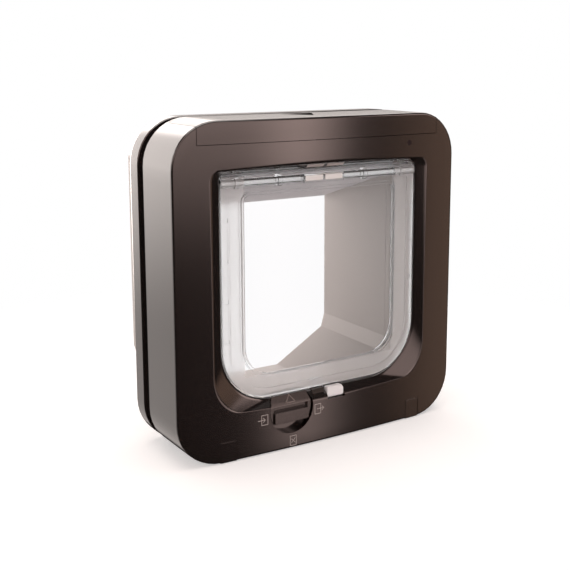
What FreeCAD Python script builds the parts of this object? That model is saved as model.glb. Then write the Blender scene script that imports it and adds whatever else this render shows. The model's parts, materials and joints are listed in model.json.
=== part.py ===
import FreeCAD, Part
import math
import os
import re
import Sketcher

# Cat flap with a chip reader, in millimetres. +Z is up and the indoor face looks along -Y.
# Depth is counted from the side edges of the indoor face, where it is 0, and grows to the rear.
# Each sub-part is then placed so that the whole part is centred on the origin and stands on z = 0.
SIZES = {
    # Indoor frame
    "frame_width": 210.0,
    "frame_height": 210.0,
    "corner_radius": 29.0,
    "crown": 4.0,
    "rim_bevel": 0.8,
    "indoor_depth": 40.0,
    "case_wall": 3.0,
    "skin_back": 1.5,
    "seat_gap": 0.2,
    "fit_gap": 0.05,
    # Opening with its sloping reveal, and the collar round the flap
    "side_width": 31.5,
    "sill_height": 34.5,
    "head_room": 32.5,
    "aperture_low_round": 35.0,
    "aperture_top_round": 3.0,
    "reveal_side": 12.0,
    "reveal_low": 5.5,
    "reveal_high": 4.5,
    "reveal_low_round": 16.0,
    "reveal_top_round": 8.0,
    "collar_back": 8.0,
    "collar_wall": 2.5,
    # Flap and its spindle
    "flap_gap": 1.0,
    "flap_head_gap": 1.5,
    "flap_front": 1.5,
    "flap_thick": 5.0,
    "flap_top_round": 1.5,
    "lip_width": 5.5,
    "lip_step": 0.8,
    "window_side": 15.5,
    "window_foot": 14.5,
    "window_head": 12.0,
    "window_low_round": 20.0,
    "window_top_round": 4.0,
    "bead_width": 1.8,
    "pane_step": 1.5,
    "pivot_depth": 4.0,
    "pivot_drop": 4.0,
    "spindle_radius": 1.5,
    "spindle_end": 2.0,
    "rail_radius": 3.5,
    "ring_radius": 4.2,
    "ring_width": 3.0,
    "ring_inset": 10.5,
    "ring_inner": 32.0,
    "bush_radius": 2.2,
    "bush_flange": 3.2,
    "bush_flange_thick": 1.2,
    "insert_length": 13.0,
    "insert_height": 3.2,
    "insert_thick": 0.8,
    "insert_space": 1.6,
    "housing_proud": 0.4,
    "housing_wall": 1.0,
    "tick_last": 27.0,
    "tick_height": 2.4,
    "tick_depth": 0.4,
    "tick_start": 38.5,
    # Tunnel, liner and sloping ceiling
    "tunnel_side": 8.0,
    "tunnel_drop": 24.75,
    "tunnel_head": 2.5,
    "tunnel_wall": 2.5,
    "tunnel_rear": 119.0,
    "band_height": 11.8,
    "band_lean": 3.35,
    "band_rise": 0.35,
    "facet_width": 45.3,
    "ceiling_front": 10.0,
    "ceiling_drop": 34.5,
    "ceiling_thick": 2.3,
    # Outdoor frame and the two foam seals
    "seal_gap": 7.7,
    "outdoor_depth": 13.2,
    "outdoor_wall": 2.5,
    "outdoor_bevel": 2.0,
    "tunnel_gap": 0.5,
    "seal_inset": 3.0,
    "seal_room": 1.5,
    # Battery cover, tray and cells
    "cover_inset": 16.0,
    "cover_height": 14.0,
    "cover_rear": 3.2,
    "cover_wall": 2.5,
    "cover_flange_back": 1.2,
    "arrow_half": 12.5,
    "arrow_rear": 34.3,
    "arrow_tip": 12.0,
    "arrow_depth": 0.6,
    "tray_inset": 3.0,
    "tray_front": 3.0,
    "tray_drop": 26.0,
    "cell_radius": 7.2,
    "cell_room": 4.3,
    "nub_radius": 2.7,
    "nub_length": 1.0,
    "cell_start": 15.4,
    "cell_drop": 14.5,
    "cell_front": 11.5,
    "cell_pitch": 15.5,
    "contact_thick": 0.4,
    "contact_rise": 4.8,
    "tower_width": 15.0,
    "tower_drop": 5.0,
    "tower_front": 6.3,
    # Learn button in the battery bay
    "button_radius": 4.0,
    "button_head": 5.0,
    "button_depth": 19.2,
    "button_drop": 20.0,
    "button_gap": 0.3,
    "button_rise": 2.0,
    "button_travel": 1.2,
    # Screws that clamp the two frames, and their covers
    "screw_radius": 2.0,
    "screw_reach": 2.3,
    "screw_head_radius": 3.6,
    "screw_head_thick": 2.3,
    "screw_low_share": 0.341,
    "screw_low_height": 6.8,
    "screw_high_inset": 27.0,
    "screw_high_drop": 9.0,
    "screw_low_seat": 3.2,
    "boss_radius": 5.2,
    "screw_cover_width": 11.8,
    "screw_cover_height": 13.5,
    "screw_cover_back": 0.2,
    # Back plate and its small screws
    "plate_thick": 2.5,
    "plate_inset": 0.3,
    "small_radius": 1.25,
    "small_head_radius": 2.8,
    "small_head_thick": 1.5,
    "small_length": 10.0,
    "post_half": 4.0,
    "post_inset": 13.0,
    "post_low": 54.0,
    "post_drop": 58.0,
    # Four-way lock
    "knob_x": -26.65,
    "knob_drop": 8.45,
    "knob_radius": 15.2,
    "knob_flat": 9.0,
    "knob_front": 2.4,
    "knob_back": 1.0,
    "knob_edge": 0.4,
    "knob_slope": 3.2,
    "grip_half": 12.5,
    "grip_low": 8.0,
    "grip_high": 1.0,
    "grip_proud": 1.6,
    "well_gap": 0.7,
    "well_floor": 1.3,
    "shaft_radius": 3.0,
    "bearing_radius": 18.5,
    "bearing_back": 4.5,
    "disc_front": 8.4,
    "disc_thick": 2.6,
    # Electronic latch, its rack and pinion and its motor
    "latch_left": 1.1,
    "latch_width": 12.5,
    "latch_drop": 6.7,
    "latch_rise": 0.5,
    "latch_front": 2.9,
    "latch_back": 1.0,
    "latch_gap": 0.4,
    "tail_left": 3.0,
    "tail_width": 7.45,
    "tail_low": 6.0,
    "tail_drop": 4.7,
    "tail_front": 1.8,
    "tail_thick": 4.0,
    "tooth_module": 1.0,
    "pinion_teeth": 10,
    "pinion_height": 16.0,
    "pinion_front": 2.2,
    "pinion_thick": 3.4,
    "motor_shaft": 1.0,
    "motor_radius": 6.0,
    "motor_front": 8.6,
    "motor_length": 20.0,
    "motor_cap": 1.5,
    "shaft_sink": 3.0,
    "tooth_sink": 0.3,
    "bracket_left": -50.0,
    "bracket_right": 40.0,
    "bracket_low": 3.6,
    "bracket_drop": 4.0,
    "bracket_front": 11.8,
    "bracket_thick": 2.2,
    "guide_gap": 0.3,
    "guide_inset": 1.8,
    "latch_rise_room": 4.0,
    "bracket_post_half": 3.0,
    "bracket_post_inset": 4.2,
    # Reader board, aerial, lamp window and sensors
    "board_inset": 20.5,
    "board_width": 14.5,
    "board_foot": 8.0,
    "board_room": 18.0,
    "board_front": 6.0,
    "board_thick": 1.6,
    "chip_inset": 2.6,
    "rail_width": 2.5,
    "rail_bite": 1.0,
    "rail_lip": 1.2,
    "aerial_front": 16.0,
    "aerial_depth": 6.0,
    "aerial_thick": 3.2,
    "aerial_gap": 0.3,
    "lamp_inset": 39.5,
    "lamp_drop": 19.3,
    "lamp_flange_thick": 1.0,
    "lamp_radius": 1.75,
    "lamp_flange": 2.6,
    "sensor_length": 12.5,
    "sensor_space": 2.4,
    "sensor_front": 2.4,
    "sensor_back": 0.1,
    "sensor_thick": 1.6,
    "magnet_length": 8.8,
    "magnet_right": -0.4,
    "magnet_height": 3.0,
    "magnet_rise": 2.1,
    "flap_magnet_thick": 2.6,
    "sill_magnet_front": 1.0,
    "sill_magnet_thick": 3.6,
    "sill_magnet_slope": 0.3,
}

# Sizes that follow from the driving ones, written as rules
DERIVED = {
    "aperture_half": "frame_width / 2 - side_width",
    "aperture_top": "frame_height - head_room",
    "flap_half": "aperture_half - flap_gap",
    "flap_low": "sill_height + flap_gap",
    "flap_top": "aperture_top - flap_head_gap",
    "flap_back": "flap_front + flap_thick",
    "flap_low_round": "aperture_low_round - flap_gap",
    "window_half": "flap_half - window_side",
    "window_low": "flap_low + window_foot",
    "window_top": "flap_top - window_head",
    "pivot_height": "flap_top - pivot_drop",
    "insert_front": "pivot_depth - rail_radius - housing_proud",
    "spindle_reach": "aperture_half + spindle_end",
    "ring_outer": "flap_half - ring_inset",
    "tick_first": "flap_low + tick_start",
    "tick_run": "flap_top - tick_first - tick_last",
    "tunnel_half": "aperture_half + tunnel_side",
    "tunnel_low": "sill_height - tunnel_drop",
    "tunnel_top": "aperture_top + tunnel_head",
    "band_foot": "sill_height + band_rise",
    "band_top": "band_foot + band_height",
    "band_foot_half": "tunnel_half - band_lean",
    "floor_half": "tunnel_half - facet_width",
    "facet_run": "(band_foot_half - floor_half) / (band_foot - tunnel_low)",
    "crown_radius": "(frame_width * frame_width / 4 + crown * crown) / (2 * crown)",
    "crown_middle": "crown_radius - crown",
    "plate_back": "indoor_depth - plate_inset",
    "plate_front": "plate_back - plate_thick",
    "outdoor_front": "indoor_depth + seal_gap",
    "outdoor_back": "outdoor_front + outdoor_depth",
    "cover_half": "frame_width / 2 - cover_inset",
    "cover_low": "frame_height - cover_height",
    "cover_back": "indoor_depth - cover_rear",
    "tray_half": "cover_half - tray_inset",
    "tray_low": "frame_height - tray_drop",
    "tower_start": "tray_half - tower_width",
    "tower_top": "frame_height - tower_drop",
    "cell_height": "frame_height - cell_drop",
    "cell_end": "tower_start - cell_room - 2 * contact_thick",
    "button_low": "frame_height - button_drop",
    "screw_length": "outdoor_front + screw_reach",
    "screw_low_half": "frame_width * screw_low_share",
    "screw_high_half": "frame_width / 2 - screw_high_inset",
    "screw_high_height": "frame_height - screw_high_drop",
    "post_side_half": "frame_width / 2 - post_inset",
    "post_high": "frame_height - post_drop",
    "knob_height": "sill_height - knob_drop",
    "latch_low": "sill_height - latch_drop",
    "latch_top": "sill_height + latch_rise",
    "latch_right": "latch_left + latch_width",
    "tail_right": "tail_left + tail_width",
    "tail_back": "tail_front + tail_thick",
    "tail_top": "sill_height - tail_drop",
    "disc_back": "disc_front + disc_thick",
    "pinion_x": "tail_right + tooth_module * (1.25 + pinion_teeth / 2)",
    "pinion_back": "pinion_front + pinion_thick",
    "pinion_root": "tooth_module * (pinion_teeth / 2 - 1.25)",
    "tooth_pitch": "tooth_module * %s" % math.pi,
    "bracket_top": "sill_height - bracket_drop",
    "bracket_back": "bracket_front + bracket_thick",
    "board_left": "frame_width / 2 - board_inset",
    "board_right": "board_left + board_width",
    "board_back": "board_front + board_thick",
    "board_low": "post_low + board_foot",
    "board_high": "post_high - post_low - board_room + board_low",
    "lamp_x": "frame_width / 2 - lamp_inset",
    "lamp_height": "frame_height - lamp_drop",
    "flap_magnet_low": "flap_low + magnet_rise",
}

doc = FreeCAD.newDocument("cat_flap")
sheet = doc.addObject("Spreadsheet::Sheet", "Sizes")
for row, (name, value) in enumerate(SIZES.items(), start=1):
    sheet.set("A%d" % row, name)
    sheet.set("B%d" % row, str(value))
    sheet.setAlias("B%d" % row, name)
doc.recompute()

# Where the design depth 0 lies in the finished part
DEPTH_SHIFT = "(crown - tunnel_rear) / 2"
NODES = []


def rule(text):
    """Points each size named in a rule at its cell in the sheet, with derived sizes written out."""
    def cell(word):
        name = word.group()
        if name in DERIVED:
            return "(" + rule(DERIVED[name]) + ")"
        return "Sizes." + name if name in SIZES else name
    return re.sub(r"[a-z][a-z_]+", cell, text)


def number(text):
    """The value of a rule now."""
    return float(sheet.evalExpression(rule(text)))


def minus(text):
    return "-(" + text + ")"


def bind(thing, prop, text):
    thing.setExpression(prop, rule(text))


def new_body(label):
    """A sub-part, moved from the design depth to the part's own frame."""
    body = doc.addObject("PartDesign::Body", label)
    body.Label = label
    bind(body, "Placement.Base.y", DEPTH_SHIFT)
    NODES.append(body)
    return body


PLANES = {"X": "YZ_Plane", "Y": "XZ_Plane", "Z": "XY_Plane"}


def new_sketch(body, name, axis, at, shapes):
    """A sketch across an axis. Across Y it holds (x, z), across X it holds (y, z) and across Z (x, y)."""
    sketch = body.newObject("Sketcher::SketchObject", name)
    plane = [item for item in body.Origin.OriginFeatures if item.Role == PLANES[axis]][0]
    sketch.AttachmentSupport = [(plane, "")]
    sketch.MapMode = "FlatFace"
    bind(sketch, "AttachmentOffset.Base.z", minus(at) if axis == "Y" else at)
    for shape in shapes:
        shape(sketch)
    return sketch


def place_point(sketch, curve, point, across, up):
    """Fixes one point of a curve at its two coordinates."""
    for kind, text in (("DistanceX", across), ("DistanceY", up)):
        if text is None:
            continue
        index = sketch.addConstraint(Sketcher.Constraint(kind, -1, 1, curve, point, number(text)))
        bind(sketch, "Constraints[%d]" % index, text)


def fix_radius(sketch, curve, text):
    index = sketch.addConstraint(Sketcher.Constraint("Radius", curve, number(text)))
    bind(sketch, "Constraints[%d]" % index, text)


def line(x0, y0, x1, y1):
    return Part.LineSegment(FreeCAD.Vector(x0, y0, 0), FreeCAD.Vector(x1, y1, 0))


def arc(x, y, radius, start):
    """A quarter turn, from a starting angle in degrees."""
    circle_at = Part.Circle(FreeCAD.Vector(x, y, 0), FreeCAD.Vector(0, 0, 1), radius)
    return Part.ArcOfCircle(circle_at, math.radians(start), math.radians(start + 90))


def circle(across, up, radius):
    def draw(sketch):
        centre = FreeCAD.Vector(number(across), number(up), 0)
        curve = sketch.addGeometry(Part.Circle(centre, FreeCAD.Vector(0, 0, 1), number(radius)))
        place_point(sketch, curve, 3, across, up)
        fix_radius(sketch, curve, radius)
    return draw


def polygon(points):
    def draw(sketch):
        ends = [(number(across), number(up)) for across, up in points]
        count = len(ends)
        curves = []
        for here, there in zip(ends, ends[1:] + ends[:1]):
            curves.append(sketch.addGeometry(line(*here, *there)))
        for index in range(count):
            sketch.addConstraint(Sketcher.Constraint("Coincident", curves[index - 1], 2, curves[index], 1))
            place_point(sketch, curves[index], 1, *points[index])
    return draw


def box(left, right, low, high):
    return polygon([(left, low), (right, low), (right, high), (left, high)])


def rounded(left, right, low, high, low_round, high_round):
    """A rectangle with one radius on its two lower corners and another on its two upper ones."""
    def draw(sketch):
        x0, x1, z0, z1 = (number(side) for side in (left, right, low, high))
        r0, r1 = number(low_round), number(high_round)
        bottom = sketch.addGeometry(line(x0 + r0, z0, x1 - r0, z0))
        right_side = sketch.addGeometry(line(x1, z0 + r0, x1, z1 - r1))
        top = sketch.addGeometry(line(x1 - r1, z1, x0 + r1, z1))
        left_side = sketch.addGeometry(line(x0, z1 - r1, x0, z0 + r0))
        sides = (bottom, right_side, top, left_side)
        corners = [
            sketch.addGeometry(arc(x0 + r0, z0 + r0, r0, 180)),
            sketch.addGeometry(arc(x1 - r0, z0 + r0, r0, 270)),
            sketch.addGeometry(arc(x1 - r1, z1 - r1, r1, 0)),
            sketch.addGeometry(arc(x0 + r1, z1 - r1, r1, 90)),
        ]
        for index, corner in enumerate(corners):
            sketch.addConstraint(Sketcher.Constraint("Tangent", sides[index - 1], 2, corner, 1))
            sketch.addConstraint(Sketcher.Constraint("Tangent", corner, 2, sides[index], 1))
        for side, kind in zip(sides, ("Horizontal", "Vertical", "Horizontal", "Vertical")):
            sketch.addConstraint(Sketcher.Constraint(kind, side))
        place_point(sketch, bottom, 1, None, low)
        place_point(sketch, right_side, 1, right, None)
        place_point(sketch, top, 1, None, high)
        place_point(sketch, left_side, 1, left, None)
        for corner, text in zip(corners, (low_round, low_round, high_round, high_round)):
            fix_radius(sketch, corner, text)
    return draw


def add(body, name, axis, start, end, *shapes):
    """Adds the shapes, extruded from start to end along an axis."""
    profile = new_sketch(body, name + "_sketch", axis, start, shapes)
    pad = body.newObject("PartDesign::Pad", name)
    pad.Profile = profile
    bind(pad, "Length", "(" + end + ") - (" + start + ")")
    pad.Reversed = axis == "Y"
    profile.Visibility = False
    return pad


def cut(body, name, axis, start, end, *shapes):
    """Cuts the shapes, extruded from start to end along an axis."""
    profile = new_sketch(body, name + "_sketch", axis, start, shapes)
    pocket = body.newObject("PartDesign::Pocket", name)
    pocket.Profile = profile
    bind(pocket, "Length", "(" + end + ") - (" + start + ")")
    pocket.Reversed = axis != "Y"
    return pocket


def bevel_edges(body, name, width, is_edge):
    """Bevels the edges of the last feature that is_edge picks."""
    doc.recompute()
    base = body.Tip
    edges = ["Edge%d" % (i + 1) for i, edge in enumerate(base.Shape.Edges) if is_edge(edge)]
    feature = body.newObject("PartDesign::Chamfer", name)
    feature.Base = (base, edges)
    bind(feature, "Size", width)


def crowned_block(body, name, left, right, low, high, back):
    """A block whose front follows the crowned indoor face, extruded upwards."""
    def draw(sketch):
        x0, x1, rear = number(left), number(right), number(back)
        radius, middle = number("crown_radius"), number("crown_middle")
        y0 = middle - math.sqrt(radius ** 2 - x0 ** 2)
        y1 = middle - math.sqrt(radius ** 2 - x1 ** 2)
        full = Part.Circle(FreeCAD.Vector(0, middle, 0), FreeCAD.Vector(0, 0, 1), radius)
        start = math.atan2(y0 - middle, x0)
        end = math.atan2(y1 - middle, x1)
        front = sketch.addGeometry(Part.ArcOfCircle(full, start, end))
        corners = [(x1, y1), (x1, rear), (x0, rear), (x0, y0)]
        sides = [sketch.addGeometry(line(*here, *there)) for here, there in zip(corners, corners[1:])]
        ring = [front] + sides
        for index in range(4):
            sketch.addConstraint(Sketcher.Constraint("Coincident", ring[index - 1], 2, ring[index], 1))
        place_point(sketch, front, 3, "0", "crown_middle")
        fix_radius(sketch, front, "crown_radius")
        sketch.addConstraint(Sketcher.Constraint("Vertical", sides[0]))
        sketch.addConstraint(Sketcher.Constraint("Vertical", sides[2]))
        place_point(sketch, sides[1], 1, right, back)
        place_point(sketch, sides[2], 1, left, back)
    return add(body, name, "Z", low, high, draw)


def trim(body, name, back, shape):
    """Cuts off all that lies outside a shape in the front view."""
    far = "frame_width"
    around = box(minus(far), far, minus(far), "2 * frame_height")
    return cut(body, name, "Y", "-crown - 2", back, around, shape)


def frame_outline(inset):
    """The rounded square of the frames, moved inwards."""
    side = "(frame_width / 2 - " + inset + ")"
    corner = "corner_radius - " + inset
    return rounded("-" + side, side, inset, "frame_height - " + inset, corner, corner)


def aperture_outline(gap):
    """The hole round the flap, moved outwards."""
    return rounded("-aperture_half - " + gap, "aperture_half + " + gap, "sill_height - " + gap,
                   "aperture_top + " + gap, "aperture_low_round + " + gap, "aperture_top_round + " + gap)


def mirrored(points):
    """Right-hand points from the top down, then the same on the left from the bottom up."""
    return points + [("-(" + across + ")", up) for across, up in reversed(points)]


def tunnel_outline(gap):
    """The outside of the tunnel, moved outwards, with its two facets at each lower corner."""
    return polygon(mirrored([
        ("tunnel_half + " + gap, "tunnel_top + " + gap),
        ("tunnel_half + " + gap, "band_top - " + gap),
        ("band_foot_half + " + gap, "band_foot - " + gap),
        ("floor_half + " + gap, "tunnel_low - " + gap),
    ]))


def liner_outline(gap):
    """The outside of the liner: the tunnel's outline, ended at the sill."""
    sill_half = "band_foot_half - (band_rise + tunnel_wall) * facet_run"
    return polygon(mirrored([
        ("tunnel_half + " + gap, "tunnel_top + " + gap),
        ("tunnel_half + " + gap, "band_top - " + gap),
        ("band_foot_half + " + gap, "band_foot - " + gap),
        (sill_half + " + " + gap, "sill_height - tunnel_wall - " + gap),
    ]))


SCREW_POINTS = [(side + half, height) for side in ("-", "") for half, height in
                (("screw_low_half", "screw_low_height"), ("screw_high_half", "screw_high_height"))]
LOW_SCREWS = SCREW_POINTS[0::2]
HIGH_SCREWS = SCREW_POINTS[1::2]
POSTS = [(side + "post_side_half", height) for side in ("-", "") for height in ("post_low", "post_high")]
BRACKET_POSTS = [("bracket_left + bracket_post_inset", "bracket_top - bracket_post_inset"),
                 ("bracket_right - bracket_post_inset", "bracket_low + bracket_post_inset")]


def octagons(points, radius):
    """Eight-sided sections for the many small screws, their bores and their bosses."""
    turns = [math.pi * (step + 0.5) / 4 for step in range(8)]
    return [polygon([("%s + (%s) * %.5f" % (x, radius, math.cos(turn)),
                      "%s + (%s) * %.5f" % (z, radius, math.sin(turn))) for turn in turns])
            for x, z in points]


def squares(points, half):
    return [box(x + " - " + half, x + " + " + half, z + " - " + half, z + " + " + half) for x, z in points]


def sensor_shape(gap):
    """The side view of the two sensor windows, lying in the sloping top reveal."""
    slope = ") * reveal_high / (crown + skin_back)"
    under = " - " + gap + " * 20"
    over = " + sensor_thick + " + gap
    front, back = "-sensor_front - " + gap, "-sensor_back + " + gap
    front_low = "aperture_top + (skin_back + sensor_front + " + gap + slope
    back_low = "aperture_top + (skin_back + sensor_back - " + gap + slope
    return polygon([(front, front_low + under), (back, back_low + under),
                    (back, back_low + over), (front, front_low + over)])


def make_front_shell():
    """Indoor frame: crowned face, sloping reveal, collar for the flap, bosses and posts inside."""
    body = new_body("indoor_front_shell")
    crowned_block(body, "face_block", "-frame_width / 2", "frame_width / 2", "0", "frame_height",
                  "indoor_depth")
    trim(body, "corners", "indoor_depth + 2", frame_outline("0"))
    bevel_edges(body, "rim", "rim_bevel", lambda edge: edge.BoundBox.YMax < 0.01)
    cut(body, "cavity", "Y", "collar_back", "indoor_depth + 2", frame_outline("case_wall"))
    cut(body, "collar_room", "Y", "skin_back", "collar_back", frame_outline("case_wall"),
        aperture_outline("collar_wall"))
    add(body, "screw_bosses", "Y", "skin_back", "plate_front", *octagons(LOW_SCREWS, "boss_radius"))
    add(body, "plate_posts", "Y", "skin_back", "plate_front", *squares(POSTS, "post_half"))
    add(body, "bracket_posts", "Y", "skin_back", "bracket_front",
        *squares(BRACKET_POSTS, "bracket_post_half"))
    rail_sides = [("board_left - rail_width + rail_bite", "board_left + rail_bite"),
                  ("board_right - rail_bite", "board_right - rail_bite + rail_width")]
    add(body, "board_rails", "Y", "skin_back", "board_back + rail_lip",
        *[box(left, right, "board_low", "board_high") for left, right in rail_sides])
    cut(body, "board_slots", "Y", "board_front - fit_gap", "board_back + fit_gap",
        box("board_left - fit_gap", "board_right + fit_gap", "board_low - 1", "board_high + 1"))
    add(body, "knob_bearing", "Y", "skin_back", "bearing_back",
        circle("knob_x", "knob_height", "bearing_radius"))
    mouth = rounded("-aperture_half - reveal_side", "aperture_half + reveal_side", "sill_height - reveal_low",
                    "aperture_top + reveal_high", "reveal_low_round", "reveal_top_round")
    front = new_sketch(body, "mouth_sketch", "Y", "-crown", [mouth])
    back = new_sketch(body, "throat_sketch", "Y", "skin_back", [aperture_outline("0")])
    reveal = body.newObject("PartDesign::SubtractiveLoft", "reveal")
    reveal.Profile = front
    reveal.Sections = [back]
    reveal.Ruled = True
    cut(body, "aperture", "Y", "skin_back", "collar_back + 1", aperture_outline("0"))
    cut(body, "cover_opening", "Y", "-crown - 1", "cover_back + seat_gap",
        box("-cover_half - seat_gap", "cover_half + seat_gap", "cover_low - seat_gap", "frame_height + 1"))
    cut(body, "knob_well", "Y", "-crown - 1", "well_floor",
        circle("knob_x", "knob_height", "knob_radius + well_gap"))
    cut(body, "knob_bore", "Y", "0", "bearing_back + 1",
        circle("knob_x", "knob_height", "shaft_radius + fit_gap"))
    cut(body, "latch_window", "Y", "-crown - 1", "skin_back",
        box("latch_left - latch_gap", "latch_right + latch_gap", "latch_low - latch_gap", "sill_height + 1"))
    cut(body, "tail_slot", "Y", "skin_back", "tail_back + latch_gap",
        box("tail_left - latch_gap", "tail_right + latch_gap", "sill_height - collar_wall - 1",
            "sill_height + 1"))
    cut(body, "magnet_pocket", "Y", "-sill_magnet_front - seat_gap",
        "sill_magnet_thick - sill_magnet_front + seat_gap",
        box("magnet_right - magnet_length - seat_gap", "magnet_right + seat_gap",
            "sill_height - magnet_height - 2 * seat_gap", "sill_height + 1"))
    cut(body, "lamp_hole", "Y", "-crown - 1", "skin_back + 1",
        circle("lamp_x", "lamp_height", "lamp_radius + fit_gap"))
    for side, start in (("left", "-sensor_length - sensor_space / 2"), ("right", "sensor_space / 2")):
        cut(body, "sensor_slot_" + side, "X", start + " - fit_gap", start + " + sensor_length + fit_gap",
            sensor_shape("fit_gap"))
    for side in ("-", ""):
        middle = side + "screw_low_half"
        cut(body, "screw_recess" + ("_left" if side else "_right"), "Y", "-crown - 1", "screw_cover_back",
            box(middle + " - screw_cover_width / 2", middle + " + screw_cover_width / 2", "-1",
                "screw_cover_height"))
    cut(body, "screw_heads", "Y", "0", "screw_low_seat",
        *octagons(LOW_SCREWS, "screw_head_radius + seat_gap"))
    cut(body, "screw_bores", "Y", "0", "indoor_depth", *octagons(LOW_SCREWS, "screw_radius + fit_gap"))
    cut(body, "plate_bores", "Y", "plate_front - small_length", "indoor_depth",
        *octagons(POSTS, "small_radius + fit_gap"))
    cut(body, "bracket_bores", "Y", "bracket_front - small_length / 2", "bracket_front + 1",
        *octagons(BRACKET_POSTS, "small_radius + fit_gap"))
    cut(body, "spindle_bores", "X", "-aperture_half - collar_wall - 1", "aperture_half + collar_wall + 1",
        *octagons([("pivot_depth", "pivot_height")], "(bush_radius + fit_gap)"))
    seat = "aperture_half + collar_wall"
    seat_end = seat + " + bush_flange_thick + 2 * fit_gap"
    for side, start, end in (("left", minus(seat_end), minus(seat)), ("right", seat, seat_end)):
        cut(body, "bush_seat_" + side, "X", start, end,
            *squares([("pivot_depth", "pivot_height")], "(bush_flange + fit_gap)"))


def make_back_plate():
    """Flat plate that closes the indoor frame round the liner."""
    body = new_body("indoor_back_plate")
    add(body, "plate", "Y", "plate_front", "plate_back", frame_outline("(case_wall + plate_inset)"),
        liner_outline("plate_inset"))
    cut(body, "screw_holes", "Y", "plate_front - 1", "indoor_depth",
        *octagons(SCREW_POINTS, "screw_radius + fit_gap"))
    cut(body, "small_holes", "Y", "plate_front - 1", "indoor_depth",
        *octagons(POSTS, "small_radius + fit_gap"))
    cut(body, "head_sinks", "Y", "plate_back - small_head_thick", "indoor_depth",
        *octagons(POSTS, "small_head_radius + fit_gap"))


def make_tube(label, start, end, outline):
    """A tube of the tunnel's section, hollowed to its wall and open at both ends."""
    body = new_body(label)
    add(body, "tube", "Y", start, end, outline)
    doc.recompute()
    base = body.Tip
    ends = ["Face%d" % (i + 1) for i, face in enumerate(base.Shape.Faces)
            if abs(face.normalAt(0, 0).y) > 0.9]
    hollow = body.newObject("PartDesign::Thickness", "hollow")
    hollow.Base = (base, ends)
    bind(hollow, "Value", "tunnel_wall")
    hollow.Reversed = True
    hollow.Join = "Intersection"
    return body


def make_liner():
    """Sleeve through the indoor frame, notched for the lock's rear disc."""
    body = make_tube("passage_liner", "collar_back", "indoor_depth", liner_outline("0"))
    cut(body, "disc_notch", "Y", "collar_back", "disc_back + latch_gap",
        box("knob_x - knob_radius", "knob_x + knob_radius", "sill_height - tunnel_wall - 1",
            "sill_height + 1"))


def make_ceiling():
    """Sloping ceiling of the passage, bent up at its rear edge to close the roof space."""
    body = new_body("ceiling_panel")
    top = "tunnel_top - tunnel_wall - seat_gap"
    low = top + " - ceiling_drop - ceiling_thick"
    rear = "tunnel_rear"
    profile = polygon([
        ("ceiling_front", top),
        ("ceiling_front", top + " - ceiling_thick"),
        (rear, low),
        (rear, top),
        (rear + " - ceiling_thick", top),
        (rear + " - ceiling_thick", low + " + 1.6 * ceiling_thick"),
        ("ceiling_front + 3 * ceiling_thick", top),
    ])
    reach = "tunnel_half - tunnel_wall - seat_gap"
    add(body, "panel", "X", minus(reach), reach, profile)


def make_outdoor_frame():
    """Outdoor frame: a shallow hollow moulding with bevelled rear edge and four screw bosses."""
    body = new_body("outdoor_frame")
    add(body, "block", "Y", "outdoor_front", "outdoor_back", frame_outline("0"))
    rear = number("outdoor_back")
    bevel_edges(body, "rear_rim", "outdoor_bevel", lambda edge: edge.BoundBox.YMin > rear - 0.01)
    cut(body, "hollow", "Y", "outdoor_front", "outdoor_back - outdoor_wall", frame_outline("outdoor_wall"),
        tunnel_outline("(tunnel_gap + outdoor_wall)"))
    add(body, "bosses", "Y", "outdoor_front", "outdoor_back - outdoor_wall / 2",
        *squares(SCREW_POINTS, "post_half"))
    cut(body, "opening", "Y", "outdoor_front - 1", "outdoor_back + 1", tunnel_outline("tunnel_gap"))
    cut(body, "boss_bores", "Y", "outdoor_front", "outdoor_back - outdoor_wall",
        *octagons(SCREW_POINTS, "screw_radius + fit_gap"))


def make_seals():
    """Two foam seals that press on the door from both sides, shown closed on each other."""
    middle = "indoor_depth + seal_gap / 2"
    spans = (("indoor_seal", "indoor_depth", middle), ("outdoor_seal", middle, "outdoor_front"))
    for label, start, end in spans:
        body = new_body(label)
        add(body, "ring", "Y", start, end, frame_outline("seal_inset"), tunnel_outline("seal_room"))
        cut(body, "screw_holes", "Y", start, end, *squares(SCREW_POINTS, "(screw_radius + seat_gap)"))


def make_battery_cover():
    """Cover over the battery bay: front flange and top sheet in one, with an arrow sunk in its top."""
    body = new_body("battery_cover")
    crowned_block(body, "cover_block", "-cover_half", "cover_half", "cover_low", "frame_height", "cover_back")
    trim(body, "corners", "cover_back + 1", frame_outline("0"))
    cut(body, "inside", "Y", "cover_flange_back", "cover_back + 1", frame_outline("cover_wall"))
    arrow = polygon([("-arrow_half", "arrow_rear"), ("arrow_half", "arrow_rear"), ("0", "arrow_tip")])
    cut(body, "arrow", "Z", "frame_height - arrow_depth", "frame_height + 1", arrow)


CELL_CENTRES = ["cell_front", "cell_front + cell_pitch"]


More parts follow.
